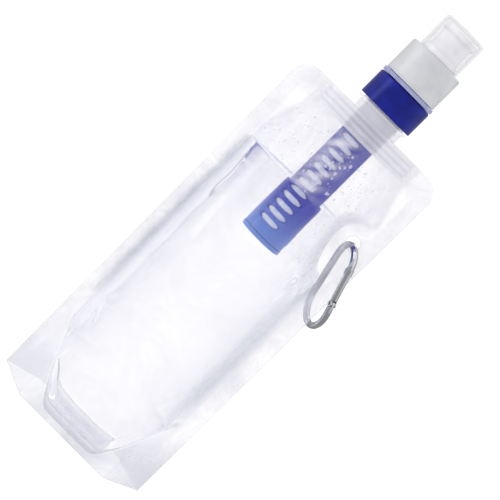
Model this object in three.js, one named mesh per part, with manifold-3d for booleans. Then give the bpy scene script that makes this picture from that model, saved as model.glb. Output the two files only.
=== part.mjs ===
// Folding water bottle: a clear film pouch with a spout, a screw-on filter, a push-pull sports cap with a
// dust cover, and a carabiner through an eyelet in the side seal.
// Millimetres, +Z up. The origin is on the surface that the bottle stands on, on the axis of the spout.
// +X runs to the carabiner's side and -Y is the front.
import * as THREE from "three";
import { mergeVertices } from "three/addons/utils/BufferGeometryUtils.js";
import Module from "manifold-3d";

const wasm = await Module();
wasm.setup();

// ---------------------------------------------------------------- driving dimensions
const GAP = 0.3; // clearance between pieces that touch
const ROUND = 30; // sides of a turned piece

const POUCH_WIDTH = 95;
const POUCH_HEIGHT = 219;
const POUCH_CORNER = 10; // radius of the two top corners
const SIDE_SEAL = 7.5; // width of the welded strip down each side
const FILM = 0.6; // wall of a film panel
const FOLD_Z = 108.5; // the film folds across here, clear of the filter
const PANEL_COLUMNS = 20;
const LOWER_ROWS = [0, 0.04, 0.1, 0.17, 0.26, 0.36, 0.5, 0.74, 1]; // closer together where the film curves most
const UPPER_ROWS = [0, 0.2, 0.38, 0.5, 0.58, 0.66, 0.76, 0.86, 0.91, 0.945, 0.972, 0.99, 1];

const BASE_DEPTH = 22; // how far the front bottom edge stands forward of the side seals
const BASE_FLAT = 29; // half of the straight part of that edge
const EAR_LIFT = 1.2; // how far the two bottom corners stand off the surface
const GUSSET_HEIGHT = 45; // the bottom weld meets the side seals here
const GUSSET_WELD = 8; // height of the bottom weld at its middle
const GUSSET_SIDE = 38; // half width of the gusset film

const EYELET_X = 34.9;
const EYELET_Z = 169.7;
const EYELET_RADIUS = 3.6;
const ISLAND_RADIUS = 9; // the film is welded flat this far round the eyelet
const ISLAND_FADE = 6;
const ISLAND_DROP = 2.4; // below the eyelet the flat reaches this many times as far

const WING_LENGTH = 60; // the boat-shaped foot of the spout
const WING_HALF_DEPTH = 14.4;
const WING_BOTTOM = 208;
const WING_TOP = 218.7;
const WING_RIBS = 4;
const NECK_RADIUS = 13.2;
const NECK_FOOT_RADIUS = 13.9;
const NECK_BORE = 11.2;
const SUPPORT_RING_Z = 224.1;
const SUPPORT_RING = 1.2;
const SUPPORT_RING_RADIUS = 15.6;
const NECK_TOP = 237.1;

const COLLAR_RADIUS = 16.3;
const COLLAR_BORE = 14.9;
const COLLAR_BOTTOM = 226.4;
const COLLAR_TOP = 241.2;
const COLLAR_CEILING = 238.7; // underside of the collar's inner wall
const PORT_RADIUS = 12.2; // the threaded port that takes the cap
const PORT_BORE = 9.6;
const PORT_TOP = 259.1;
const FILTER_SPIGOT = 9.15; // the filter tube is pushed on to this
const FILTER_SPIGOT_BOTTOM = 233.5;
const OUTLET_RADIUS = 7;

const THREAD_PITCH = 3;
const NECK_THREAD = { low: 228.9, turns: 2, ridge: 0.95 };
const PORT_THREAD = { low: 250.6, turns: 2, ridge: 0.85 };
const THREAD_STEPS = 16; // steps in one turn

const TUBE_RADIUS = 10.3;
const TUBE_BORE = 9.5;
const TUBE_BOTTOM = 141.1;
const SLOT_PITCH = 5.1;
const SLOT_COUNT = 13;
const SLOT_FIRST_Z = 149.3;
const SLOT_AZIMUTH = THREE.MathUtils.degToRad(-107); // the slotted side faces front left
const SLOT_HALF_ANGLE = THREE.MathUtils.degToRad(42);
const SLOT_HALF_HEIGHT = 1.5; // at the middle of a slot; it narrows towards both ends
const CORE_RADIUS = 8.9;
const PAD_THICKNESS = 2.5;
const END_CAP_RADIUS = 10.5;

const CAP_RADIUS = 15.75;
const CAP_BORE = 13.65;
const CAP_BOTTOM = 243.8;
const CAP_TOP = 262.6;
const CAP_CEILING = 260.7;
const SHOULDER_RADIUS = 10.9; // the dust cover snaps round this ring
const SHOULDER_TOP = 265.8;
const CHIMNEY_RADIUS = 6.6;
const CHIMNEY_BORE = 5.1;
const CHIMNEY_TOP = 275.4;
const O_RING_Z = 272.7;
const PLUG_RADIUS = 3;
const NOZZLE_RADIUS = 9;
const NOZZLE_LIP_RADIUS = 10.2; // at the top, where teeth or fingers grip it
const NOZZLE_FOOT_RADIUS = 9.5;
const NOZZLE_BORE = 7.2;
const NOZZLE_BOTTOM = 264.8;
const NOZZLE_TOP = 280.4;
const NOZZLE_HOLE = 3.4;
const COVER_RADIUS = 12.3;
const COVER_WALL = 1;
const COVER_TOP = 282.4;

const WIRE = 1.8; // radius of the carabiner's bar
const CLIP_TOP_RADIUS = 9.3;
const CLIP_BOTTOM_RADIUS = 11.4;
const CLIP_BOTTOM_CENTRE = { x: 1.2, z: -34.6 };
const GATE_TIP_Z = -10;
const GATE_PIVOT_Z = -28;
const CLIP_TURN = THREE.MathUtils.degToRad(58); // its plane is turned this far out of the film's
const CLIP_TILT = THREE.MathUtils.degToRad(13.8); // it leans outwards, and backwards, round the side edge
const CLIP_PITCH = THREE.MathUtils.degToRad(11.5);
const CLIP_FORWARD = 1.8; // how far in front of the film the middle of its bow hangs
const CLIP_HANG_Z = EYELET_Z - EYELET_RADIUS + WIRE + 2.5 * GAP;

// ---------------------------------------------------------------- materials
const plastic = (color, roughness, opacity = 1) =>
  new THREE.MeshStandardMaterial({ color, roughness, metalness: 0, opacity, transparent: opacity < 1 });
const metal = (color, roughness) => new THREE.MeshStandardMaterial({ color, roughness, metalness: 1 });

const MATERIALS = {
  film: plastic("#eef0f6", 0.12, 0.3),
  spout: plastic("#e6e8ee", 0.4, 0.85),
  blue: plastic("#2b2f8c", 0.35),
  filterBlue: plastic("#2f43b4", 0.4),
  cap: plastic("#dfe2e8", 0.45),
  nozzle: plastic("#e3e2e8", 0.4),
  cover: plastic("#f6f6fa", 0.05, 0.3),
  silicone: plastic("#eceef2", 0.6, 0.9),
  media: plastic("#e4e6ec", 0.9),
  steel: metal("#c9cbd0", 0.2),
  aluminium: metal("#d4d6da", 0.28),
};

// ---------------------------------------------------------------- helpers
const group = new THREE.Group();

function solid(geometry) {
  const bare = geometry.index ? geometry.toNonIndexed() : geometry.clone();
  bare.deleteAttribute("normal");
  bare.deleteAttribute("uv");
  const merged = mergeVertices(bare, 1e-4);
  return new wasm.Manifold(
    new wasm.Mesh({
      numProp: 3,
      vertProperties: new Float32Array(merged.attributes.position.array),
      triVerts: new Uint32Array(merged.index.array),
    }),
  );
}

function geometryOf(manifold) {
  const mesh = manifold.getMesh();
  return new THREE.BufferGeometry()
    .setAttribute("position", new THREE.BufferAttribute(mesh.vertProperties, 3))
    .setIndex(new THREE.BufferAttribute(mesh.triVerts, 1));
}

const united = (first, ...others) => others.reduce((sum, other) => sum.add(other), first);
const cutBy = (first, ...others) => others.reduce((rest, other) => rest.subtract(other), first);

function add(name, shape, material, parent = group) {
  const geometry = shape instanceof THREE.BufferGeometry ? shape : geometryOf(shape);
  if (!geometry.attributes.normal) geometry.computeVertexNormals();
  const mesh = new THREE.Mesh(geometry, material);
  mesh.name = name;
  parent.add(mesh);
  return mesh;
}

// A solid of revolution about Z. The profile is a list of [radius, z], up the outside and down the inside.
function turned(profile, sides = ROUND) {
  const points = [...profile, profile[0]].map(([r, z]) => new THREE.Vector2(r, z));
  return new THREE.LatheGeometry(points, sides).rotateX(Math.PI / 2);
}

const ring = (inner, outer, low, high, sides) =>
  turned([[inner, low], [outer, low], [outer, high], [inner, high]], sides);

function rod(radius, low, high, sides = ROUND) {
  return new THREE.CylinderGeometry(radius, radius, high - low, sides)
    .rotateX(Math.PI / 2)
    .translate(0, 0, (low + high) / 2);
}

const block = (x, y, z, centre) => new THREE.BoxGeometry(x, y, z).translate(...centre);

// A screw thread: a round ridge along a right-handed helix about Z.
class Helix extends THREE.Curve {
  constructor(radius, low, turns) {
    super();
    Object.assign(this, { radius, low, turns });
  }
  getPoint(t, target = new THREE.Vector3()) {
    const angle = 2 * Math.PI * this.turns * t;
    const z = this.low + THREAD_PITCH * this.turns * t;
    return target.set(this.radius * Math.cos(angle), this.radius * Math.sin(angle), z);
  }
}

function disc(radius, sides) {
  const shape = new THREE.Shape();
  for (let i = 0; i < sides; i++) {
    const angle = (2 * Math.PI * i) / sides;
    shape[i ? "lineTo" : "moveTo"](radius * Math.cos(angle), radius * Math.sin(angle));
  }
  return shape;
}

const swept = (section, path, steps) =>
  new THREE.ExtrudeGeometry(section, { extrudePath: path, steps, bevelEnabled: false, curveSegments: 1 });

const thread = (radius, { low, turns, ridge }, shift = 0) =>
  solid(swept(disc(ridge, 6), new Helix(radius, low + shift, turns), turns * THREAD_STEPS));

// ---------------------------------------------------------------- film pouch
const smooth = (t) => {
  const s = THREE.MathUtils.clamp(t, 0, 1);
  return s * s * (3 - 2 * s);
};
const ramp = (z, low, high) => smooth((z - low) / (high - low));
const mix = THREE.MathUtils.lerp;

// Half of the pouch's depth on its middle line: [height, depth] from the base to the foot of the spout.
const DEPTH_CURVE = new THREE.SplineCurve(
  [
    [0, 22],
    [35, 24],
    [85, 25],
    [136.5, 24],
    [171.5, 21],
    [193.5, 17.3],
    [WING_BOTTOM, WING_HALF_DEPTH + 0.4],
    [POUCH_HEIGHT, WING_HALF_DEPTH + 0.4],
  ].map(([z, depth]) => new THREE.Vector2(z, depth)),
);
const DEPTH_TABLE = DEPTH_CURVE.getPoints(240);

function middleDepth(z) {
  const above = DEPTH_TABLE.findIndex((p) => p.x >= z);
  if (above <= 0) return DEPTH_TABLE[0].y;
  const [a, b] = [DEPTH_TABLE[above - 1], DEPTH_TABLE[above]];
  return mix(a.y, b.y, (z - a.x) / (b.x - a.x));
}

function outlineHalfWidth(z) {
  const over = z - (POUCH_HEIGHT - POUCH_CORNER);
  const half = POUCH_WIDTH / 2;
  return over <= 0 ? half : half - POUCH_CORNER + Math.sqrt(Math.max(POUCH_CORNER ** 2 - over ** 2, 0));
}

// Depth of the film in front of the side seals' plane: a bowed wall between the seals, which closes on the
// spout's foot at the top and opens to the trapezoid of the base at the bottom.
function halfDepth(x, z) {
  const across = Math.abs(x);
  const depth = middleDepth(z);
  const reach = mix(POUCH_WIDTH / 2 - SIDE_SEAL, WING_LENGTH / 2 + 3, ramp(z, 176.5, WING_BOTTOM));
  const radius = (reach ** 2 + depth ** 2) / (2 * depth);
  const bow = across < reach ? Math.sqrt(radius ** 2 - across ** 2) - (radius - depth) : 0;
  const corner = THREE.MathUtils.clamp((POUCH_WIDTH / 2 - across) / (POUCH_WIDTH / 2 - BASE_FLAT), 0, 1);
  const body = mix(BASE_DEPTH * corner, bow, ramp(z, 0, GUSSET_HEIGHT));
  const below = (z - EYELET_Z) / (z < EYELET_Z ? ISLAND_DROP : 1);
  const fromEyelet = Math.hypot(x - EYELET_X, below);
  return body * ramp(fromEyelet, ISLAND_RADIUS, ISLAND_RADIUS + ISLAND_FADE);
}

const bottomEdge = (x) => EAR_LIFT * ramp(Math.abs(x), BASE_FLAT, POUCH_WIDTH / 2);

// One half of a film panel. side is -1 for the front and 1 for the back.
function panelHalf(side, low, high, rows) {
  const geometry = new THREE.BoxGeometry(2, 2, 1, PANEL_COLUMNS, 1, rows.length - 1);
  const position = geometry.attributes.position;
  for (let i = 0; i < position.count; i++) {
    const share = rows[Math.round((position.getZ(i) + 0.5) * (rows.length - 1))];
    const z = mix(low, high, share);
    const x = position.getX(i) * outlineHalfWidth(z);
    const lifted = low > 0 ? z : z + bottomEdge(x) * (1 - share);
    const wall = GAP / 2 + (position.getY(i) * side > 0 ? FILM : 0);
    position.setXYZ(i, x, side * (halfDepth(x, z) + wall), lifted);
  }
  return solid(geometry);
}

function eyeletCutter() {
  return solid(
    new THREE.CylinderGeometry(EYELET_RADIUS, EYELET_RADIUS, 10, 24).translate(EYELET_X, 0, EYELET_Z),
  );
}

function addPanels() {
  for (const [face, side] of [["front", -1], ["back", 1]]) {
    const upper = panelHalf(side, FOLD_Z + GAP / 2, POUCH_HEIGHT, UPPER_ROWS);
    add(`${face}_film_upper`, cutBy(upper, eyeletCutter()), MATERIALS.film);
    add(`${face}_film_lower`, panelHalf(side, 0, FOLD_Z - GAP / 2, LOWER_ROWS), MATERIALS.film);
  }
}

// Height of the curved weld between the gusset and a panel.
const weldHeight = (x) => mix(GUSSET_WELD, GUSSET_HEIGHT, smooth((Math.abs(x) - 14) / 30) ** 1.2);

// The gusset hangs between the two welds and lies flat on the surface in the middle.
function addGusset() {
  const geometry = new THREE.BoxGeometry(2, 2, 1, 20, 10, 1);
  const position = geometry.attributes.position;
  for (let i = 0; i < position.count; i++) {
    const x = position.getX(i) * GUSSET_SIDE;
    const weld = weldHeight(x);
    const across = position.getY(i);
    const y = across * (halfDepth(x, weld) - GAP);
    const sag = 1.35 * GUSSET_WELD * ramp(GUSSET_SIDE - Math.abs(x), 0, 26);
    const under = Math.max(weld - sag * (1 - across ** 2), 0);
    position.setXYZ(i, x, y, position.getZ(i) > 0 ? under + FILM : under);
  }
  add("bottom_gusset", solid(geometry), MATERIALS.film);
}

// ---------------------------------------------------------------- spout
function boat(halfLength, halfDepthAtMiddle, low, high) {
  const tip = 1;
  const bow = halfDepthAtMiddle - tip;
  const radius = (halfLength ** 2 + bow ** 2) / (2 * bow);
  const swing = Math.asin(halfLength / radius);
  const shape = new THREE.Shape();
  shape.absarc(0, halfDepthAtMiddle - radius, radius, Math.PI / 2 - swing, Math.PI / 2 + swing, false);
  shape.absarc(0, radius - halfDepthAtMiddle, radius, -Math.PI / 2 - swing, -Math.PI / 2 + swing, false);
  const settings = { depth: high - low, bevelEnabled: false, curveSegments: 8 };
  return solid(new THREE.ExtrudeGeometry(shape, settings).translate(0, 0, low));
}

function addSpout() {
  const rib = (WING_TOP - WING_BOTTOM) / (2 * WING_RIBS - 1);
  const core = boat(WING_LENGTH / 2 - 1, WING_HALF_DEPTH - 0.7, WING_BOTTOM + 0.1, WING_TOP - 0.1);
  const ribs = Array.from({ length: WING_RIBS }, (_, i) => {
    const low = WING_BOTTOM + 2 * rib * i;
    return boat(WING_LENGTH / 2, WING_HALF_DEPTH, low, low + rib);
  });
  const neck = solid(
    turned([
      [0, WING_BOTTOM + 1],
      [NECK_FOOT_RADIUS - 1, WING_BOTTOM + 1],
      [NECK_FOOT_RADIUS, SUPPORT_RING_Z - 4],
      [NECK_FOOT_RADIUS, SUPPORT_RING_Z],
      [SUPPORT_RING_RADIUS, SUPPORT_RING_Z],
      [SUPPORT_RING_RADIUS, SUPPORT_RING_Z + SUPPORT_RING],
      [NECK_RADIUS, SUPPORT_RING_Z + SUPPORT_RING],
      [NECK_RADIUS, NECK_TOP],
      [0, NECK_TOP],
    ]),
  );
  const ridge = thread(NECK_RADIUS + 0.15, NECK_THREAD);
  const bore = solid(rod(NECK_BORE, WING_BOTTOM - 5, NECK_TOP + 5));
  add("spout", cutBy(united(core, ...ribs, neck, ridge), bore), MATERIALS.spout);
}

// ---------------------------------------------------------------- filter
function addFilter() {
  const shell = turned([
    [OUTLET_RADIUS, FILTER_SPIGOT_BOTTOM],
    [FILTER_SPIGOT, FILTER_SPIGOT_BOTTOM],
    [FILTER_SPIGOT, COLLAR_CEILING],
    [COLLAR_BORE, COLLAR_CEILING],
    [COLLAR_BORE, COLLAR_BOTTOM],
    [COLLAR_RADIUS, COLLAR_BOTTOM],
    [COLLAR_RADIUS, COLLAR_TOP - 0.8],
    [COLLAR_RADIUS - 0.8, COLLAR_TOP],
    [PORT_RADIUS, COLLAR_TOP],
    [PORT_RADIUS, PORT_TOP],
    [PORT_BORE, PORT_TOP],
    [PORT_BORE, COLLAR_TOP + 1],
    [OUTLET_RADIUS, COLLAR_TOP - 1],
  ]);
  const inner = thread(COLLAR_BORE, { ...NECK_THREAD, turns: 1.5 }, THREAD_PITCH / 2);
  const outer = thread(PORT_RADIUS + 0.1, PORT_THREAD);
  add("filter_collar", united(solid(shell), inner, outer), MATERIALS.blue);
  add("neck_gasket", ring(NECK_BORE + 0.3, NECK_RADIUS, NECK_TOP + GAP, COLLAR_CEILING - GAP), MATERIALS.silicone);
  add("cap_seat_ring", ring(PORT_RADIUS + 1.1, COLLAR_RADIUS + 0.1, COLLAR_TOP + GAP, CAP_BOTTOM - GAP), MATERIALS.spout);

  const tubeTop = COLLAR_CEILING - GAP;
  const sagitta = TUBE_RADIUS * (1 - Math.cos(SLOT_HALF_ANGLE));
  const slots = [];
  for (let i = 0; i < SLOT_COUNT; i++) {
    for (const turn of [SLOT_AZIMUTH, SLOT_AZIMUTH + Math.PI]) {
      const cutter = new THREE.CylinderGeometry(1, 1, 2 * TUBE_RADIUS, 12).scale(sagitta, 1, SLOT_HALF_HEIGHT);
      slots.push(solid(cutter.translate(TUBE_RADIUS, 0, SLOT_FIRST_Z + i * SLOT_PITCH).rotateZ(turn)));
    }
  }
  add("filter_tube", cutBy(solid(ring(TUBE_BORE, TUBE_RADIUS, TUBE_BOTTOM + GAP, tubeTop)), ...slots), MATERIALS.filterBlue);

  const capInside = TUBE_BOTTOM + 3;
  add(
    "filter_end_cap",
    turned([[0, TUBE_BOTTOM - 2.2], [END_CAP_RADIUS, TUBE_BOTTOM - 2.2], [END_CAP_RADIUS, TUBE_BOTTOM],
      [TUBE_BORE - GAP, TUBE_BOTTOM], [TUBE_BORE - GAP, capInside], [0, capInside]]),
    MATERIALS.filterBlue,
  );
  const lowPad = capInside + GAP;
  const highPad = FILTER_SPIGOT_BOTTOM - GAP - PAD_THICKNESS;
  add("lower_filter_pad", rod(CORE_RADIUS, lowPad, lowPad + PAD_THICKNESS, 24), MATERIALS.media);
  add("filter_core", rod(CORE_RADIUS, lowPad + PAD_THICKNESS + GAP, highPad - GAP, 24), MATERIALS.media);
  add("upper_filter_pad", rod(CORE_RADIUS, highPad, highPad + PAD_THICKNESS, 24), MATERIALS.media);
}

// ---------------------------------------------------------------- sports cap
function addCap() {
  const shell = turned([
    [CHIMNEY_BORE, CAP_CEILING],
    [CAP_BORE, CAP_CEILING],
    [CAP_BORE, CAP_BOTTOM],
    [CAP_RADIUS, CAP_BOTTOM],
    [CAP_RADIUS, CAP_TOP - 0.7],
    [CAP_RADIUS - 0.7, CAP_TOP],
    [SHOULDER_RADIUS, CAP_TOP],
    [SHOULDER_RADIUS, CAP_TOP + 0.8],
    [SHOULDER_RADIUS - 0.6, SHOULDER_TOP],
    [SHOULDER_RADIUS - 1, SHOULDER_TOP],
    [SHOULDER_RADIUS - 1, CAP_TOP],
    [CHIMNEY_RADIUS, CAP_TOP],
    [CHIMNEY_RADIUS, O_RING_Z - 0.8],
    [CHIMNEY_RADIUS - 0.7, O_RING_Z - 0.8],
    [CHIMNEY_RADIUS - 0.7, O_RING_Z + 0.8],
    [CHIMNEY_RADIUS, O_RING_Z + 0.8],
    [CHIMNEY_RADIUS, CHIMNEY_TOP],
    [CHIMNEY_BORE, CHIMNEY_TOP],
  ]);
  const plug = solid(rod(PLUG_RADIUS, CAP_CEILING, NOZZLE_TOP - 0.4, 24));
  const spokes = [0, 1, 2].map((i) =>
    solid(block(CHIMNEY_BORE, 1.2, 2, [CHIMNEY_BORE / 2 + 0.6, 0, CAP_CEILING + 1.2]).rotateZ((2 * Math.PI * i) / 3)),
  );
  const inner = thread(CAP_BORE, { ...PORT_THREAD, turns: 1.5 }, THREAD_PITCH / 2);
  add("sports_cap", united(solid(shell), plug, ...spokes, inner), MATERIALS.cap);
  add("cap_liner", ring(PORT_BORE, PORT_RADIUS + 0.8, PORT_TOP + GAP, CAP_CEILING - GAP), MATERIALS.silicone);

  add(
    "nozzle",
    turned([
      [NOZZLE_BORE, NOZZLE_BOTTOM],
      [NOZZLE_FOOT_RADIUS, NOZZLE_BOTTOM],
      [NOZZLE_FOOT_RADIUS, NOZZLE_BOTTOM + 1.4],
      [NOZZLE_RADIUS, NOZZLE_BOTTOM + 3],
      [NOZZLE_RADIUS, NOZZLE_TOP - 4.6],
      [NOZZLE_LIP_RADIUS, NOZZLE_TOP - 3],
      [NOZZLE_LIP_RADIUS, NOZZLE_TOP - 0.8],
      [NOZZLE_LIP_RADIUS - 0.8, NOZZLE_TOP],
      [NOZZLE_HOLE, NOZZLE_TOP],
      [NOZZLE_HOLE, NOZZLE_TOP - 2.4],
      [NOZZLE_BORE, NOZZLE_TOP - 2.4],
    ]),
    MATERIALS.nozzle,
  );
  const seal = new THREE.TorusGeometry(CHIMNEY_RADIUS - 0.15, 0.42, 6, 24).translate(0, 0, O_RING_Z);
  add("nozzle_o_ring", solid(seal), MATERIALS.silicone);

  add(
    "dust_cover",
    turned([
      [COVER_RADIUS - COVER_WALL, CAP_TOP + GAP],
      [COVER_RADIUS, CAP_TOP + GAP],
      [COVER_RADIUS, COVER_TOP - 0.8],
      [COVER_RADIUS - 0.8, COVER_TOP],
      [0, COVER_TOP],
      [0, COVER_TOP - COVER_WALL],
      [COVER_RADIUS - COVER_WALL, COVER_TOP - COVER_WALL],
    ]),
    MATERIALS.cover,
  );
}

// ---------------------------------------------------------------- carabiner
// Drawn in its own X-Z plane with the middle of its top bow at the origin, then hung in the eyelet.
function addCarabiner() {
  const clip = new THREE.Group();
  clip.position.set(EYELET_X + CLIP_FORWARD / Math.tan(CLIP_TURN), -CLIP_FORWARD, CLIP_HANG_Z);
  clip.rotation.set(CLIP_PITCH, -CLIP_TILT, -CLIP_TURN);
  group.add(clip);

  const right = CLIP_BOTTOM_CENTRE.x + CLIP_BOTTOM_RADIUS;
  const gateX = (z) => mix(CLIP_TOP_RADIUS, right, (-CLIP_TOP_RADIUS - z) / (-CLIP_TOP_RADIUS - CLIP_BOTTOM_CENTRE.z));
  const lean = Math.atan2(gateX(GATE_PIVOT_Z) - gateX(GATE_TIP_Z), GATE_TIP_Z - GATE_PIVOT_Z);
  const pivotX = gateX(GATE_PIVOT_Z);

  const outline = new THREE.Path();
  outline.moveTo(gateX(GATE_TIP_Z), GATE_TIP_Z);
  outline.lineTo(CLIP_TOP_RADIUS, -CLIP_TOP_RADIUS);
  outline.absarc(0, -CLIP_TOP_RADIUS, CLIP_TOP_RADIUS, 0, Math.PI, false);
  outline.lineTo(CLIP_BOTTOM_CENTRE.x - CLIP_BOTTOM_RADIUS, CLIP_BOTTOM_CENTRE.z);
  outline.absarc(CLIP_BOTTOM_CENTRE.x, CLIP_BOTTOM_CENTRE.z, CLIP_BOTTOM_RADIUS, Math.PI, 2 * Math.PI, false);
  outline.lineTo(gateX(GATE_PIVOT_Z - 1), GATE_PIVOT_Z - 1);
  const path = new THREE.CatmullRomCurve3(
    outline.getSpacedPoints(44).map((p) => new THREE.Vector3(p.x, 0, p.y)),
    false,
    "centripetal",
  );
  const bar = solid(swept(disc(WIRE, 10), path, 44));

  // The nose is a fork that takes the gate's tip, and the other end is a tongue inside the gate's own fork.
  const leaned = (geometry, z) => solid(geometry.rotateY(-lean).translate(gateX(z), 0, z));
  const noseHead = leaned(rod(WIRE + 0.45, -1.6, 1.6, 16), GATE_TIP_Z);
  const noseSlot = leaned(block(2 * WIRE + 3, 1.7, 3.4, [-1.6, 0, -1.2]), GATE_TIP_Z);
  const tongueTip = leaned(rod(WIRE, -2.4, 0, 16), GATE_PIVOT_Z);
  const cheeks = [-1, 1].map((side) => leaned(block(6, 3, 5.2, [0, side * (0.6 + 1.5), 0.5]), GATE_PIVOT_Z));
  const knuckle = (length) => leaned(new THREE.CylinderGeometry(WIRE, WIRE, length, 16), GATE_PIVOT_Z);
  const pinHole = (radius) =>
    solid(new THREE.CylinderGeometry(radius, radius, 8, 12).translate(pivotX, 0, GATE_PIVOT_Z));
  add("carabiner_hook", cutBy(united(bar, noseHead, tongueTip, knuckle(2 * WIRE)), noseSlot, ...cheeks, pinHole(0.9)), MATERIALS.aluminium, clip);

  const length = (GATE_TIP_Z - GATE_PIVOT_Z) / Math.cos(lean);
  const gateRod = leaned(rod(WIRE, 0, length - 2, 16), GATE_PIVOT_Z);
  const tip = leaned(block(2, 1.1, 2.8, [-0.2, 0, length - 1.2]), GATE_PIVOT_Z);
  const fork = leaned(block(6, 1.8, 5.2, [0, 0, -0.4]), GATE_PIVOT_Z);
  const springBore = leaned(rod(1.05, 2, 10, 12), GATE_PIVOT_Z);
  add("carabiner_gate", cutBy(united(gateRod, knuckle(2 * WIRE - 0.4), tip), fork, springBore, pinHole(0.9)), MATERIALS.aluminium, clip);

  const rivet = new THREE.CylinderGeometry(0.6, 0.6, 2 * WIRE, 12).translate(pivotX, 0, GATE_PIVOT_Z);
  add("gate_rivet", rivet, MATERIALS.steel, clip);

  const coil = new Helix(0.5, 3, 2);
  const spring = swept(disc(0.22, 6), coil, 24).rotateY(-lean).translate(pivotX, 0, GATE_PIVOT_Z);
  add("gate_spring", spring, MATERIALS.steel, clip);
}

addPanels();
addGusset();
addSpout();
addFilter();
addCap();
addCarabiner();

export default group;
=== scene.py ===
"""Looks for the folding water bottle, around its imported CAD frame. Metres, +Z up, the front faces -Y."""
import bpy
import bmesh
import math
import random
from mathutils import Matrix, Vector, noise


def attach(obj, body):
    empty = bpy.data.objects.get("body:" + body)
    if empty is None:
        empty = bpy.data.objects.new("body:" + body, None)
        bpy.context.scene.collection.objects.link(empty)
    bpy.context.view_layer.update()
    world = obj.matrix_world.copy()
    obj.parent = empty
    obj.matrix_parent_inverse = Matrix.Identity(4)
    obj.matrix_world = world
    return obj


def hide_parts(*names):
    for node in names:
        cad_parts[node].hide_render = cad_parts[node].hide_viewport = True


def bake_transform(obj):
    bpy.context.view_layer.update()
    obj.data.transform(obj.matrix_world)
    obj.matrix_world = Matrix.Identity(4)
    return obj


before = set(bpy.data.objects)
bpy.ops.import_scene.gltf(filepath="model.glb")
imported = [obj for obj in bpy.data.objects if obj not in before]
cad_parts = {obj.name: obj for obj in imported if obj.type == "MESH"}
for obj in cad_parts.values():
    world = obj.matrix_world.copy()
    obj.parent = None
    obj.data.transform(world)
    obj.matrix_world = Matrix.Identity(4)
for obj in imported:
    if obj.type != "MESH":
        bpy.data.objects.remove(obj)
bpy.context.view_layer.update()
MM = 0.001
random.seed(7)

# ------------------------------------------------------------------ the pouch's shape, as in the CAD (mm)
WIDTH, HEIGHT, CORNER = 95.0, 219.0, 10.0
SEAL = 7.5  # width of the welded strip down each side
BASE_DEPTH, BASE_FLAT, EAR_LIFT = 22.0, 29.0, 1.2
GUSSET_HEIGHT, GUSSET_WELD, GUSSET_SIDE = 45.0, 8.0, 38.0
EYELET_X, EYELET_Z, EYELET_RADIUS = 34.9, 169.7, 3.6
ISLAND, ISLAND_FADE, ISLAND_DROP = 9.0, 6.0, 2.4  # the flat weld round the eyelet
WING_LENGTH, WING_BOTTOM, WING_TOP, WING_RIBS = 60.0, 208.0, 218.7, 4  # the spout's boat-shaped foot
# Half depth on the middle line: height and depth of each point of a spline.
DEPTHS = [(0, 22), (35, 24), (85, 25), (136.5, 24), (171.5, 21), (193.5, 17.3), (208, 14.8), (219, 14.8)]

# What only the looks need (mm)
FRONT, BACK = -1, 1  # the side of the middle plane that a sheet is on
WATER_TOP = 172.1
FILM_THICKNESS = 0.3
SHEET_GAP = 0.3  # from the gusset to the two sheets
FILM_OUTSET = 0.35  # from the CAD's shape to the film's outer face
WATER_INSET = 0.35  # from the CAD's shape to the water
WATER_LIFT = 0.9  # from the gusset and the welds up to the water
WATER_REACH = 39.5  # half width of the water
FILM_CELLS_ACROSS, FILM_ROWS, FILM_CORNER_ROWS = 96, 170, 14
WATER_CELLS_ACROSS, WATER_ROWS, WATER_CELLS_DEEP = 84, 90, 10
GUSSET_CELLS_ACROSS, GUSSET_CELLS_DEEP = 80, 30
# The gusset film's haze, and the painted shade that greys it a little.
GUSSET_HAZE, GUSSET_PAINTED_SHADE = 0.08, 0.1
BEADS, LARGE_BEADS = 190, 14


def smooth(t):
    s = min(max(t, 0.0), 1.0)
    return s * s * (3 - 2 * s)


def ramp(z, low, high):
    return smooth((z - low) / (high - low))


def mix(a, b, t):
    return a + (b - a) * t


def depth_table(steps=240):
    """The CAD's spline through DEPTHS, as points of height and half depth."""
    table = []
    for i in range(steps + 1):
        spot = (len(DEPTHS) - 1) * i / steps
        k = min(int(spot), len(DEPTHS) - 2)
        t = spot - k
        p = [DEPTHS[min(max(j, 0), len(DEPTHS) - 1)] for j in (k - 1, k, k + 1, k + 2)]
        point = []
        for n in (0, 1):
            v0, v1 = (p[2][n] - p[0][n]) / 2, (p[3][n] - p[1][n]) / 2
            point.append((2 * p[1][n] - 2 * p[2][n] + v0 + v1) * t ** 3
                         + (-3 * p[1][n] + 3 * p[2][n] - 2 * v0 - v1) * t ** 2 + v0 * t + p[1][n])
        table.append(tuple(point))
    return table


DEPTH_TABLE = depth_table()


def middle_depth(z):
    """Half depth on the middle line."""
    for (z0, d0), (z1, d1) in zip(DEPTH_TABLE, DEPTH_TABLE[1:]):
        if z <= z1:
            return mix(d0, d1, max(z - z0, 0) / (z1 - z0))
    return DEPTH_TABLE[-1][1]


def outline_half_width(z):
    """Half width of the sheets, less in the rounded top corners."""
    over = z - (HEIGHT - CORNER)
    if over <= 0:
        return WIDTH / 2
    return WIDTH / 2 - CORNER + math.sqrt(max(CORNER ** 2 - over ** 2, 0))


def below_eyelet(z):
    """Height above the eyelet, shortened below it, where the flat weld reaches further."""
    return (z - EYELET_Z) / (ISLAND_DROP if z < EYELET_Z else 1)


def from_eyelet(x, z):
    """Distance from the eyelet, by that shortened height."""
    return math.hypot(x - EYELET_X, below_eyelet(z))


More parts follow.
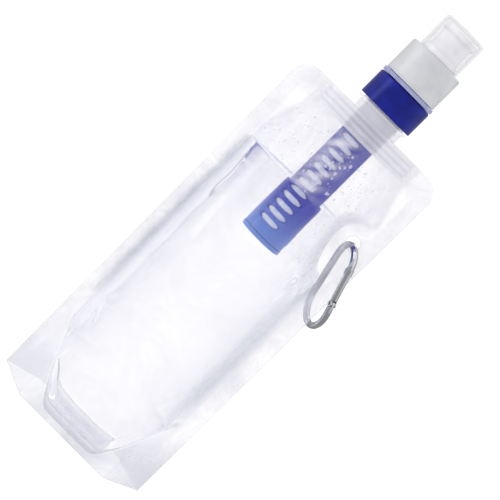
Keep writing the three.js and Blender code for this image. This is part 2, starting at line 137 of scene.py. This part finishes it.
def half_depth(x, z):
    """Half depth of the filled pouch, to either side of its middle plane."""
    across, depth = abs(x), middle_depth(z)
    reach = mix(WIDTH / 2 - SEAL, WING_LENGTH / 2 + 3, ramp(z, 176.5, WING_BOTTOM))
    radius = (reach ** 2 + depth ** 2) / (2 * depth)
    bow = math.sqrt(radius ** 2 - across ** 2) - (radius - depth) if across < reach else 0.0
    corner = min(max((WIDTH / 2 - across) / (WIDTH / 2 - BASE_FLAT), 0), 1)
    body = mix(BASE_DEPTH * corner, bow, ramp(z, 0, GUSSET_HEIGHT))
    return body * ramp(from_eyelet(x, z), ISLAND, ISLAND + ISLAND_FADE)


def bottom_edge(x):
    """How far the bottom edge stands off the surface: the two corners are lifted a little."""
    return EAR_LIFT * ramp(abs(x), BASE_FLAT, WIDTH / 2)


def weld_height(x):
    """Height of the curved weld between a sheet and the gusset."""
    return mix(GUSSET_WELD, GUSSET_HEIGHT, smooth((abs(x) - 14) / 30) ** 1.2)


def crease(x, z, x0, z0, x1, z1, width):
    """How far (x, z) is inside a crease drawn between two points: 1 on its line, fading over width."""
    dx, dz = x1 - x0, z1 - z0
    length2 = dx * dx + dz * dz
    t = ((x - x0) * dx + (z - z0) * dz) / length2
    if not 0 < t < 1:
        return 0.0
    off = abs((x - x0) * dz - (z - z0) * dx) / math.sqrt(length2)
    return math.exp(-(off / width) ** 2) * math.sin(math.pi * t) ** 0.7


# Creases in the film: start, end, width and depth. They fan from the corners of the weld and the eyelet.
CREASES = [
    (-36, 44, -22, 62, 1.6, 0.35), (-33, 30, -12, 40, 1.4, 0.4), (36, 46, 20, 66, 1.6, 0.35),
    (33, 30, 14, 38, 1.4, 0.4), (-37, 146.5, -33, 91.5, 1.6, 0.3), (-36.5, 94.5, -34, 58, 1.6, 0.25),
    (35, 144.5, 31, 84, 1.8, 0.6), (33, 88.5, 37, 52, 1.7, 0.35), (25, 164.5, 13, 174.5, 0.8, 0.5),
    (28, 156.5, 8, 146.5, 0.9, 0.45), (-30, 201.5, -17, 184.5, 1.1, 0.5), (30, 202.5, 16, 186.5, 1.1, 0.5),
    (4, 192.5, 12, 178.5, 0.7, 0.5), (12, 178.5, 5, 166.5, 0.7, 0.5), (-28, 70, -31, 116.5, 1.2, 0.4),
    (22, 40, 29, 58, 0.9, 0.5),
]


def film_depth(x, z, side):
    """Half depth of the visible film: the CAD's shape with its small bumps and creases laid on."""
    depth = half_depth(x, z)
    loose = smooth(depth / 3.0)
    ripple = noise.noise(Vector((x * 0.055, z * 0.03, 5.0 + side))) * 0.5
    ripple += noise.noise(Vector((x * 0.16, z * 0.06, 9.0 + side))) * 0.22
    near_seal = math.exp(-((abs(x) - 37.5) / 3.0) ** 2) * ramp(z, 20, 45) * (1 - ramp(z, 172.5, 196.5))
    ripple += near_seal * math.sin(z * 0.21 + 2.0 * math.sin(z * 0.05) + side) * 0.16
    for x0, z0, x1, z1, width, deep in CREASES:
        ripple -= deep * crease(-side * x, z, x0, z0, x1, z1, width)
    crumpled = math.exp(-((from_eyelet(x, z) - 15) / 6) ** 2)
    ripple += crumpled * noise.noise(Vector((x * 0.30, z * 0.22, 2.0 + side))) * 0.9
    # The film bulges a little more over the filter just under the water line.
    ripple += 1.2 * math.exp(-(x / 18) ** 2) * ramp(z, 134, 168) * (1 - ramp(z, 178, 199))
    flat = 1 - ramp(z, 199, WING_BOTTOM)
    edge = ramp(z, 0, 7)
    return max(depth + ripple * loose * flat * edge, 0.0)


def weld_relief(x, z):
    """Height of the fine ridge that the sealing bars leave along the welds and round the eyelet."""
    side_line = math.exp(-((abs(x) - 40.3) / 0.75) ** 2) * ramp(z, 40, 48) * (1 - ramp(z, 194, 202))
    low_line = math.exp(-((z - weld_height(x) + 0.6) / 0.8) ** 2) * (1 - ramp(abs(x), 38, 40))
    ring = math.exp(-((math.hypot(x - EYELET_X, z - EYELET_Z) - EYELET_RADIUS - 1.0) / 0.7) ** 2)
    rim = math.exp(-((outline_half_width(z) - abs(x) - 0.8) / 0.8) ** 2)
    return 0.34 * max(side_line, low_line) + 0.3 * ring + 0.12 * rim


# ------------------------------------------------------------------ materials
def material(name, **sockets):
    m = bpy.data.materials.new(name)
    m.use_nodes = True
    principled = m.node_tree.nodes["Principled BSDF"]
    for key, value in sockets.items():
        principled.inputs[key.replace("_", " ")].default_value = value
    return m, m.node_tree, principled


def node(tree, kind, **settings):
    """A new node. Each setting is one of its properties or, by its label, one of its inputs."""
    n = tree.nodes.new(kind)
    for key, value in settings.items():
        if hasattr(n, key):
            setattr(n, key, value)
        else:
            n.inputs[key.replace("_", " ")].default_value = value
    return n


def put(tree, socket, value):
    """Links an output to a socket, or sets the socket to a plain value."""
    if isinstance(value, bpy.types.NodeSocket):
        tree.links.new(value, socket)
    else:
        socket.default_value = value


def calculate(tree, operation, *values, clamp=False):
    n = node(tree, "ShaderNodeMath", operation=operation, use_clamp=clamp)
    for socket, value in zip(n.inputs, values):
        put(tree, socket, value)
    return n.outputs["Value"]


def rescale(tree, value, start, end, to_start=0.0, to_end=1.0):
    """value taken from start..end to to_start..to_end, and held at both ends."""
    n = node(tree, "ShaderNodeMapRange")
    places = {"Value": value, "From Min": start, "From Max": end, "To Min": to_start, "To Max": to_end}
    for label, number in places.items():
        put(tree, n.inputs[label], number)
    return n.outputs["Result"]


def mix_colours(tree, share, a, b):
    n = node(tree, "ShaderNodeMix", data_type="RGBA")
    for label, value in (("Factor", share), ("A", a), ("B", b)):
        put(tree, n.inputs[label], value)
    return n.outputs["Result"]


def attribute(tree, name):
    return node(tree, "ShaderNodeAttribute", attribute_name=name).outputs["Fac"]


def object_place(tree):
    return node(tree, "ShaderNodeTexCoord").outputs["Object"]


def object_height(tree):
    place = node(tree, "ShaderNodeSeparateXYZ")
    tree.links.new(object_place(tree), place.inputs["Vector"])
    return place.outputs["Z"]


def clear_at_front(tree, alpha, slanted_alpha):
    """Opacity of a clear sheet: alpha seen square on, and up to slanted_alpha at its edges."""
    facing = node(tree, "ShaderNodeLayerWeight", Blend=0.22)
    return rescale(tree, facing.outputs["Facing"], 0.0, 1.0, alpha, slanted_alpha)


def srgb(r, g, b):
    linear = [c / 12.92 if c <= 0.04045 else ((c + 0.055) / 1.055) ** 2.4 for c in (r, g, b)]
    return (*linear, 1.0)


def noise_bump(tree, principled, scale, strength, distance, detail=3.0, stretch=None):
    """Fine relief from noise on the object's own coordinates."""
    source = object_place(tree)
    if stretch:
        mapping = node(tree, "ShaderNodeMapping", Scale=stretch)
        tree.links.new(source, mapping.inputs["Vector"])
        source = mapping.outputs["Vector"]
    texture = node(tree, "ShaderNodeTexNoise", Scale=scale, Detail=detail)
    bump = node(tree, "ShaderNodeBump", Strength=strength, Distance=distance)
    tree.links.new(source, texture.inputs["Vector"])
    tree.links.new(texture.outputs["Fac"], bump.inputs["Height"])
    tree.links.new(bump.outputs["Normal"], principled.inputs["Normal"])
    return texture


def noise_colour(tree, principled, texture, low, high):
    """A soft colour change over the same noise."""
    colours = node(tree, "ShaderNodeValToRGB")
    first, last = colours.color_ramp.elements
    first.position, last.position = 0.35, 0.65
    first.color, last.color = low, high
    tree.links.new(texture.outputs["Fac"], colours.inputs["Fac"])
    tree.links.new(colours.outputs["Color"], principled.inputs["Base Color"])


def lay_over(principled, share, colour):
    """Lays a colour over the linked base colour, by a share from 0 to 1."""
    tree, base = principled.id_data, principled.inputs["Base Color"]
    tree.links.new(mix_colours(tree, share, base.links[0].from_socket, colour), base)


def film_material():
    """Clear film. The sheet's haze attribute says how cloudy it is; at a slant it shows more of itself."""
    m, tree, principled = material("clear_film", Roughness=0.1, IOR=1.45)
    clear, shade_grey = srgb(0.90, 0.895, 0.925), srgb(0.66, 0.68, 0.74)
    # Painted shade: a vertex attribute takes the film's colour from clear towards grey where shade falls on
    # it.
    colour = mix_colours(tree, attribute(tree, "painted_shade"), clear, shade_grey)
    tree.links.new(colour, principled.inputs["Base Color"])
    cloud = node(tree, "ShaderNodeTexNoise", Scale=34.0, Detail=5.0, Roughness=0.62, Distortion=0.6)
    tree.links.new(object_place(tree), cloud.inputs["Vector"])
    patches = rescale(tree, cloud.outputs["Fac"], 0.33, 0.68, 0.55, 1.55)
    haze = calculate(tree, "MULTIPLY", attribute(tree, "haze"), patches)
    tree.links.new(clear_at_front(tree, haze, 0.7), principled.inputs["Alpha"])
    noise_bump(tree, principled, 140.0, 0.18, 0.0006, detail=2.0)
    return m


def water_material():
    """Bends light on the way in. Shadow rays and later ones go straight through, so none is trapped."""
    m, tree, principled = material("water", Roughness=0.0, IOR=1.33, Transmission_Weight=1.0,
                                   Base_Color=srgb(0.965, 0.965, 0.972))
    path = node(tree, "ShaderNodeLightPath")
    late = calculate(tree, "GREATER_THAN", path.outputs["Ray Depth"], 1.5)
    straight = calculate(tree, "MAXIMUM", path.outputs["Is Shadow Ray"], late)
    through = node(tree, "ShaderNodeBsdfTransparent", Color=(0.96, 0.965, 0.98, 1.0))
    chosen = node(tree, "ShaderNodeMixShader")
    tree.links.new(straight, chosen.inputs["Fac"])
    tree.links.new(principled.outputs["BSDF"], chosen.inputs[1])
    tree.links.new(through.outputs["BSDF"], chosen.inputs[2])
    tree.links.new(chosen.outputs["Shader"], tree.nodes["Material Output"].inputs["Surface"])
    return m


def plastic(name, colour, other, rough, scale, strength, above=None, **extra):
    """Moulded plastic: two close colours over fine relief. above=(low, high, colour) fades to another colour
    between two heights."""
    m, tree, principled = material(name, Roughness=rough, **extra)
    texture = noise_bump(tree, principled, scale, strength, 0.0004)
    noise_colour(tree, principled, texture, colour, other)
    if above:
        low, high, top_colour = above
        lay_over(principled, rescale(tree, object_height(tree), low, high), top_colour)
    return m


def paint_groove_shade(principled, low, high, ribs, colour):
    """Painted shade: a darker colour in the grooves between ribs stacked from low to high."""
    tree = principled.id_data
    pitch = 2 * (high - low) / (2 * ribs - 1)
    z = object_height(tree)
    turns = calculate(tree, "MULTIPLY_ADD", z, 2 * math.pi / pitch, -2 * math.pi * low / pitch)
    groove = rescale(tree, calculate(tree, "SINE", turns), 0.1, -0.5)
    under_top = rescale(tree, z, high + 0.0002, high)
    lay_over(principled, calculate(tree, "MULTIPLY", groove, under_top), colour)


def metal(name, colour, rough, stretch):
    m, tree, principled = material(name, Metallic=1.0, Roughness=rough)
    texture = noise_bump(tree, principled, 300.0, 0.12, 0.0002, 2.0, stretch)
    noise_colour(tree, principled, texture, colour, tuple(0.86 * c for c in colour[:3]) + (1.0,))
    return m


def cover_material():
    m, tree, principled = material("clear_cover", Roughness=0.05, IOR=1.5, Base_Color=srgb(0.80, 0.80, 0.82))
    tree.links.new(clear_at_front(tree, 0.02, 0.6), principled.inputs["Alpha"])
    return m


FILM = film_material()
WATER = water_material()
DROPLETS, _, _ = material("water_droplets", Roughness=0.03, IOR=1.33, Alpha=0.3,
                          Base_Color=srgb(0.93, 0.93, 0.97))
SPOUT = plastic("spout_natural", srgb(0.965, 0.965, 0.975), srgb(0.99, 0.99, 0.995), 0.32, 90.0, 0.12,
                Alpha=0.42)
# Painted shade in the grooves between the wing's ribs under the film.
paint_groove_shade(SPOUT.node_tree.nodes["Principled BSDF"], WING_BOTTOM * MM, WING_TOP * MM, WING_RIBS,
              srgb(0.89, 0.89, 0.915))
# Painted light: the chimney above the cap's shoulder is painted paler than its skirt, to lift the shade that
# the dust cover and nozzle cast on it.
CAP = plastic("cap_natural_white", srgb(0.735, 0.74, 0.755), srgb(0.785, 0.79, 0.80), 0.36, 110.0, 0.12,
              above=(0.2626, 0.2634, srgb(0.95, 0.95, 0.96)))
NOZZLE = plastic("nozzle_milky", srgb(0.88, 0.875, 0.89), srgb(0.94, 0.935, 0.945), 0.38, 120.0, 0.1)
COLLAR = plastic("collar_royal_blue", srgb(0.04, 0.06, 0.40), srgb(0.06, 0.10, 0.49), 0.3, 160.0, 0.12,
                 Specular_Tint=(0.35, 0.40, 1.0, 1.0))
# The filter's tube is pale where the water lights it from below, and deep blue higher up.
TUBE = plastic("filter_blue", srgb(0.35, 0.49, 0.79), srgb(0.40, 0.54, 0.82), 0.3, 70.0, 0.1,
               above=(0.139, 0.165, srgb(0.015, 0.07, 0.63)))
MEDIUM = plastic("filter_medium", srgb(0.84, 0.87, 0.96), srgb(0.93, 0.95, 1.0), 0.9, 420.0, 0.6)
SILICONE = plastic("silicone", srgb(0.56, 0.58, 0.76), srgb(0.67, 0.69, 0.84), 0.4, 150.0, 0.1, Alpha=0.75)
ALUMINIUM = metal("polished_aluminium", srgb(0.78, 0.79, 0.81), 0.07, (1, 1, 0.12))
STEEL = metal("bright_steel", srgb(0.50, 0.51, 0.54), 0.2, (1, 1, 1))
COVER = cover_material()

CAD_LOOKS = {
    "spout": SPOUT, "filter_collar": COLLAR, "cap_seat_ring": SILICONE, "neck_gasket": SILICONE,
    "filter_tube": TUBE, "filter_end_cap": TUBE, "lower_filter_pad": MEDIUM, "filter_core": MEDIUM,
    "upper_filter_pad": MEDIUM, "cap_liner": SILICONE, "sports_cap": CAP, "nozzle": NOZZLE,
    "nozzle_o_ring": SILICONE, "dust_cover": COVER, "carabiner_hook": ALUMINIUM,
    "carabiner_gate": ALUMINIUM, "gate_rivet": STEEL, "gate_spring": STEEL,
    "bottom_gusset": FILM, "front_film_upper": FILM, "front_film_lower": FILM,
    "back_film_upper": FILM, "back_film_lower": FILM,
}
SAME_PLACE = 0.000002  # vertices of a CAD mesh closer than this are one
SHARP = math.radians(32)  # an edge that turns more than this stays crisp


def dress_cad(name, look):
    """Gives a CAD piece its material, smooth round faces and crisp edges."""
    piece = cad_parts[name]
    piece.data.materials.clear()
    piece.data.materials.append(look)
    piece.data.shade_smooth()
    piece.modifiers.new("weld", "WELD").merge_threshold = SAME_PLACE
    piece.modifiers.new("sharp_edges", "EDGE_SPLIT").split_angle = SHARP


for cad_name, cad_look in CAD_LOOKS.items():
    dress_cad(cad_name, cad_look)


# ------------------------------------------------------------------ mesh helpers
def link(name, mesh, look):
    """Puts a smooth-shaded mesh into the scene."""
    mesh.materials.append(look)
    mesh.polygons.foreach_set("use_smooth", [True] * len(mesh.polygons))
    mesh.update()
    piece = bpy.data.objects.new(name, mesh)
    bpy.context.scene.collection.objects.link(piece)
    return piece


def piece_from(name, bm, look):
    mesh = bpy.data.meshes.new(name)
    bm.to_mesh(mesh)
    bm.free()
    return link(name, mesh, look)


def cells(bm, grid, flipped):
    """Faces between the rows of a grid of vertices."""
    for low, high in zip(grid, grid[1:]):
        for i in range(len(low) - 1):
            quad = [low[i], low[i + 1], high[i + 1], high[i]]
            bm.faces.new(quad[::-1] if flipped else quad)


def column_cells(bm, grid, flipped):
    """The same for a grid that lists its columns."""
    cells(bm, list(zip(*grid)), flipped)


# ------------------------------------------------------------------ film sheets
def streaks(x, z):
    """-1 to 1: slanting streaks where the wet film clings to the filter."""
    along, off = x * 0.79 + z * 0.62, z * 0.79 - x * 0.62
    return noise.noise(Vector((off * 0.30, along * 0.07, 3.0))) * 1.7


def film_haze(x, z, side):
    """How cloudy the film is: least over the water, more in the welds, the damp air space and the flat round
    the eyelet."""
    sheet, foot, streaky = (0.02, 0.13, 0.24) if side == FRONT else (0.09, -0.03, 0.0)
    low = (1 - ramp(z - weld_height(x), -2, 0)) * (1 - ramp(z, 10, 42))
    weld = max(ramp(abs(x), 39, 40.6), low, ramp(z, 202.5, 208.5))
    damp = ramp(z, WATER_TOP - 0.4, WATER_TOP + 0.4) * (1 - weld)
    clinging = math.exp(-((x + 3.5) / 7.5) ** 2) * (0.17 + streaky * streaks(x, z))
    # The side bands are hazier, so that the film's painted shade shows there.
    haze = sheet + 0.09 * weld + foot * low + damp * (0.025 + clinging) + 0.13 * side_band(x, z)
    island = 1 - ramp(from_eyelet(x, z), ISLAND - 1, ISLAND + 2)
    return max(mix(haze, 0.13, island), 0.015)


def side_band(x, z):
    """0 to 1: inside the two long bands where the film turns in towards the side welds."""
    left = math.exp(-((x + 39.2) / 3.0) ** 2) * ramp(z, 50, 75) * (1 - ramp(z, 169, 173))
    lean = 33.8 + 4.0 * ramp(z, 115, 155)
    spread = mix(4.8, 2.0, ramp(z, 95, 150))
    right = math.exp(-((x - lean) / spread) ** 2) * ramp(z, 30, 60) * (1 - ramp(z, 138, 156))
    return max(left, right)


def film_painted_shade(x, z):
    """0 to 1: painted shade, how far the film's colour is darkened to grey. The side bands, where the
    water's edges turn the light away, and the foot below the lower weld, which faces down, get the most.
    """
    low = (1 - ramp(z - weld_height(x), -3, -0.5)) * (1 - ramp(z, 10, 42))
    return max(0.8 * side_band(x, z), low * mix(0.7, 0.35, ramp(abs(x), 14, 34)))


def row_heights():
    """Even rows up to the rounded corners, and closer ones round them."""
    low = HEIGHT - CORNER
    straight = [low * j / FILM_ROWS for j in range(FILM_ROWS)]
    turns = [math.pi / 2 * j / FILM_CORNER_ROWS for j in range(FILM_CORNER_ROWS + 1)]
    return straight + [low + CORNER * math.sin(turn) for turn in turns]


def from_hole(place):
    """Offsets of a place from the eyelet's middle across and up, and its distance, in mm."""
    dx, dz = place.x / MM - EYELET_X, place.z / MM - EYELET_Z
    return dx, dz, math.hypot(dx, dz)


def outer_face(bm, side, haze, painted_shade):
    """The sheet's outer face, with the hole of the eyelet left open."""
    grid = []
    for z in row_heights():
        half = outline_half_width(z)
        row = []
        for i in range(FILM_CELLS_ACROSS + 1):
            x = half * (2 * i / FILM_CELLS_ACROSS - 1)
            lifted = z + bottom_edge(x) * (1 - ramp(z, 0, 12))
            y = side * (FILM_OUTSET + film_depth(x, z, side) + weld_relief(x, z))
            row.append(bm.verts.new((x * MM, y * MM, lifted * MM)))
            row[-1][haze], row[-1][painted_shade] = film_haze(x, z, side), film_painted_shade(x, z)
        grid.append(row)
    cells(bm, grid, flipped=side == BACK)
    in_hole = [face for face in bm.faces if from_hole(face.calc_center_median())[2] <= EYELET_RADIUS]
    bmesh.ops.delete(bm, geom=in_hole, context="FACES")


def round_the_hole(bm):
    """Pulls the hole's ragged edge on to the eyelet's circle."""
    for v in bm.verts:
        dx, dz, away = from_hole(v.co)
        if v.is_boundary and away < EYELET_RADIUS + 2:
            v.co.x = (EYELET_X + dx / away * EYELET_RADIUS) * MM
            v.co.z = (EYELET_Z + dz / away * EYELET_RADIUS) * MM


def thicken(bm, side, haze, painted_shade):
    """Adds the inner face, and the rim round the outline and the eyelet."""
    outer, open_edges = list(bm.faces), [e for e in bm.edges if e.is_boundary]
    twin = {}
    for v in list(bm.verts):
        twin[v] = bm.verts.new((v.co.x, v.co.y - side * FILM_THICKNESS * MM, v.co.z))
        twin[v][haze], twin[v][painted_shade] = v[haze], v[painted_shade]
    for face in outer:
        bm.faces.new([twin[v] for v in reversed(face.verts)])
    for edge in open_edges:
        loop = edge.link_loops[0]
        a, b = loop.vert, loop.link_loop_next.vert
        bm.faces.new((b, a, twin[a], twin[b]))


def film_sheet(name, side):
    bm = bmesh.new()
    haze, painted_shade = bm.verts.layers.float.new("haze"), bm.verts.layers.float.new("painted_shade")
    outer_face(bm, side, haze, painted_shade)
    round_the_hole(bm)
    thicken(bm, side, haze, painted_shade)
    sheet = piece_from(name, bm, FILM)
    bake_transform(sheet)
    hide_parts(f"{name}_upper", f"{name}_lower")


film_sheet("front_film", FRONT)
film_sheet("back_film", BACK)


# ------------------------------------------------------------------ water
def gusset_z(x, across):
    """Height of the gusset film, across from -1 at the front weld to 1 at the back one."""
    sag = 1.35 * GUSSET_WELD * ramp(GUSSET_SIDE - abs(x), 0, 26)
    return max(weld_height(x) - sag * (1 - across ** 2), 0.0)


def water_right_end(z):
    """The water stops short of the flat round the eyelet."""
    gap = math.sqrt(max((ISLAND + 0.7) ** 2 - below_eyelet(z) ** 2, 0))
    return min(WATER_REACH, EYELET_X - gap)


def water_wall(bm, side):
    """Columns of vertices just inside a sheet, from the weld up to the water line."""
    wall = []
    for i in range(WATER_CELLS_ACROSS + 1):
        share = i / WATER_CELLS_ACROSS
        low = weld_height(WATER_REACH * (2 * share - 1)) + WATER_LIFT
        column = []
        for j in range(WATER_ROWS + 1):
            z = mix(low, WATER_TOP, j / WATER_ROWS)
            x = mix(-WATER_REACH, water_right_end(z), share)
            y = side * max(film_depth(x, z, side) - WATER_INSET, 0.02)
            column.append(bm.verts.new((x * MM, y * MM, z * MM)))
        wall.append(column)
    return wall


def water_level(bm, front, back, j, sagging):
    """A level top or a sagging bottom, between row j of the two walls."""
    grid = []
    for front_column, back_column in zip(front, back):
        start, end = front_column[j], back_column[j]
        row = [start]
        for k in range(1, WATER_CELLS_DEEP):
            share = k / WATER_CELLS_DEEP
            z = start.co.z
            if sagging:
                z = (gusset_z(start.co.x / MM, 2 * share - 1) + WATER_LIFT) * MM
            row.append(bm.verts.new((start.co.x, mix(start.co.y, end.co.y, share), z)))
        grid.append(row + [end])
    column_cells(bm, grid, flipped=sagging)
    return grid


def water_body():
    """The fill: bounded by the two films, the gusset and a level top."""
    bm = bmesh.new()
    front, back = water_wall(bm, FRONT), water_wall(bm, BACK)
    column_cells(bm, front, flipped=False)
    column_cells(bm, back, flipped=True)
    levels = [water_level(bm, front, back, WATER_ROWS, False), water_level(bm, front, back, 0, True)]
    for end in (0, -1):
        for j in range(WATER_ROWS):
            quad = [front[end][j], front[end][j + 1], back[end][j + 1], back[end][j]]
            bm.faces.new(quad if end == 0 else quad[::-1])
        for grid in levels:
            bm.faces.new(grid[end])
    bmesh.ops.recalc_face_normals(bm, faces=bm.faces)
    piece = piece_from("water_fill", bm, WATER)
    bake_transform(piece)


water_body()


# ------------------------------------------------------------------ bottom gusset
def gusset_grid(bm, lift, haze, painted_shade):
    grid = []
    for i in range(GUSSET_CELLS_ACROSS + 1):
        x = GUSSET_SIDE * (2 * i / GUSSET_CELLS_ACROSS - 1)
        deep = max(half_depth(x, weld_height(x)) - SHEET_GAP, 0)
        row = []
        for k in range(GUSSET_CELLS_DEEP + 1):
            across = 2 * k / GUSSET_CELLS_DEEP - 1
            v = bm.verts.new((x * MM, across * deep * MM, (gusset_z(x, across) + lift) * MM))
            v[haze], v[painted_shade] = GUSSET_HAZE, GUSSET_PAINTED_SHADE
            row.append(v)
        grid.append(row)
    return grid


def rim_of(grid):
    """The vertices round a grid, in order."""
    return grid[0][:-1] + [row[-1] for row in grid[:-1]] + grid[-1][:0:-1] + [row[0] for row in grid[:0:-1]]


def gusset_sheet():
    bm = bmesh.new()
    haze, painted_shade = bm.verts.layers.float.new("haze"), bm.verts.layers.float.new("painted_shade")
    top, bottom = (gusset_grid(bm, lift, haze, painted_shade) for lift in (FILM_THICKNESS, 0.0))
    column_cells(bm, top, flipped=False)
    column_cells(bm, bottom, flipped=True)
    high_rim, low_rim = rim_of(top), rim_of(bottom)
    for k in range(len(high_rim)):
        bm.faces.new((high_rim[k - 1], high_rim[k], low_rim[k], low_rim[k - 1]))
    bmesh.ops.recalc_face_normals(bm, faces=bm.faces)
    piece = piece_from("gusset_film", bm, FILM)
    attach(piece, "lower_pouch")
    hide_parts("bottom_gusset")


gusset_sheet()


# ------------------------------------------------------------------ droplets on the inside of the film
def bead(bm, x, z, side, size, flatness, stretch, subdivisions):
    """A droplet of size mm, flattened against the film and stretched upwards."""
    centre = Vector((x, side * (film_depth(x, z, side) + 0.1), z)) * MM
    shape = Matrix.Diagonal((size * MM, size * flatness * MM, size * stretch * MM, 1.0))
    place = Matrix.Translation(centre) @ shape
    bmesh.ops.create_icosphere(bm, subdivisions=subdivisions, radius=1.0, matrix=place)


def droplets():
    bm = bmesh.new()
    made = 0
    while made < BEADS:
        x, z = random.uniform(-38, 40), random.uniform(138, 202)
        beside_eyelet = x > 13 and z > 146
        if z < WATER_TOP and not beside_eyelet:
            continue
        side = random.choice((FRONT, FRONT, BACK))
        if film_depth(x, z, side) < 1.2:
            continue
        size, stretch = random.uniform(0.15, 0.5), random.uniform(1.0, 1.9)
        bead(bm, x, z, side, size, 0.45, stretch, 2)
        made += 1
    # A few larger beads where the wet film touches the filter.
    for _ in range(LARGE_BEADS):
        x, z = random.uniform(-9, 9), random.uniform(WATER_TOP + 2, 203)
        size, stretch = random.uniform(0.45, 0.95), random.uniform(0.8, 1.5)
        bead(bm, x, z, FRONT, size, 0.4, stretch, 3)
    piece = piece_from("film_droplets", bm, DROPLETS)
    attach(piece, "upper_pouch")


droplets()


# ------------------------------------------------------------------ floor, light and camera
def first_gloss(tree):
    """1 for a ray that a glossy surface in view has just reflected, otherwise 0: it sees a darker studio, so
    metal and edges keep their dark lines while the water, a perfect mirror, stays bright."""
    path = node(tree, "ShaderNodeLightPath").outputs
    blurred = calculate(tree, "SUBTRACT", path["Is Glossy Ray"], path["Is Singular Ray"], clamp=True)
    return calculate(tree, "MULTIPLY", blurred, calculate(tree, "LESS_THAN", path["Ray Depth"], 1.5))


def sweep():
    """A pale floor that curves up into a wall behind the bottle. It glows, so that it looks white."""
    bend, wall_y, wall_top, half_width, steps = 0.8, 2.0, 4.5, 4.0, 12
    profile = [(-4.0, 0.0), (-0.5, 0.0), (wall_y - bend, 0.0)]
    for k in range(1, steps + 1):
        a = math.pi / 2 * k / steps
        profile.append((wall_y - bend + bend * math.sin(a), bend - bend * math.cos(a)))
    profile.append((wall_y, wall_top))
    points = [(x, y, z) for y, z in profile for x in (-half_width, half_width)]
    faces = [(2 * k, 2 * k + 1, 2 * k + 3, 2 * k + 2) for k in range(len(profile) - 1)]
    mesh = bpy.data.meshes.new("backdrop")
    mesh.from_pydata(points, [], faces)
    m, tree, principled = material("pale_floor", Roughness=0.9, Base_Color=(0.08, 0.08, 0.08, 1),
                                   Emission_Color=(1, 1, 1, 1))
    glow = rescale(tree, first_gloss(tree), 0.0, 1.0, 0.98, 0.3)
    tree.links.new(glow, principled.inputs["Emission Strength"])
    floor = link("backdrop", mesh, m)


def area(name, place, towards, size, power, mirrored=True):
    """A white rectangular lamp, not seen through the water. If it isn't mirrored, gloss doesn't show it."""
    lamp = bpy.data.lights.new(name, "AREA")
    lamp.shape, lamp.size, lamp.size_y = "RECTANGLE", *size
    lamp.energy = power
    holder = bpy.data.objects.new(name, lamp)
    bpy.context.scene.collection.objects.link(holder)
    holder.location = place
    holder.visible_transmission = False
    holder.visible_glossy = mirrored
    holder.rotation_euler = (Vector(towards) - Vector(place)).to_track_quat("-Z", "Y").to_euler()


def studio_sky():
    """White to the camera, brighter above, with dark sides and a dark middle as glossy surfaces see it."""
    world = bpy.data.worlds.new("studio")
    bpy.context.scene.world = world
    world.use_nodes = True
    tree = world.node_tree
    place = node(tree, "ShaderNodeSeparateXYZ")
    tree.links.new(node(tree, "ShaderNodeTexCoord").outputs["Generated"], place.inputs["Vector"])
    top = rescale(tree, place.outputs["Z"], 0.25, 0.7, 0.85, 1.15)
    across = calculate(tree, "ABSOLUTE", place.outputs["X"])
    dark_sides = rescale(tree, across, 0.62, 0.76, 0.0, 0.97)
    dark_middle = rescale(tree, across, 0.22, 0.32, 0.97, 0.0)
    dark = calculate(tree, "MAXIMUM", dark_sides, dark_middle)
    seen_dark = calculate(tree, "MULTIPLY", first_gloss(tree), dark)
    strength = calculate(tree, "MULTIPLY", top, calculate(tree, "SUBTRACT", 1.0, seen_dark))
    in_view = node(tree, "ShaderNodeLightPath").outputs["Is Camera Ray"]
    sky = tree.nodes["Background"]
    sky.inputs["Color"].default_value = (0.98, 0.975, 1.0, 1)
    tree.links.new(calculate(tree, "MAXIMUM", strength, in_view), sky.inputs["Strength"])


def add_camera():
    """In front of the bottle and a little above it, rolled so that the bottle leans to the right."""
    aim, eye = Vector((0.0009, 0, 0.1307)), Vector((0.0009, -0.7433, 0.2305))
    roll = math.radians(44.8)
    forward = (aim - eye).normalized()
    leaning = Vector((-math.sin(roll), 0, math.cos(roll)))
    right = forward.cross(leaning).normalized()
    up = right.cross(forward)
    camera_data = bpy.data.cameras.new("camera")
    camera_data.lens = 107.5
    camera = bpy.data.objects.new("camera", camera_data)
    bpy.context.scene.collection.objects.link(camera)
    camera.matrix_world = Matrix.Translation(eye) @ Matrix((right, up, -forward)).transposed().to_4x4()
    bpy.context.scene.camera = camera


sweep()
area("key", (-0.9, -0.9, 1.3), (0, 0, 0.12), (0.9, 0.9), 1.4)
area("fill", (1.1, -0.8, 0.7), (0, 0, 0.15), (0.7, 1.1), 0.5)
area("back", (0.2, 1.0, 1.2), (0, 0, 0.15), (1.4, 0.7), 4)
area("left_strip", (-0.95, -0.35, 0.35), (0, 0, 0.17), (0.25, 0.9), 2.2)
# The water would mirror this one as a white line at its left end.
area("right_strip", (0.9, 0.35, 0.35), (0, 0, 0.17), (0.25, 0.9), 1.0, mirrored=False)
studio_sky()
add_camera()

scene = bpy.context.scene
scene.view_settings.view_transform = "Standard"
scene.cycles.transparent_max_bounces = 32
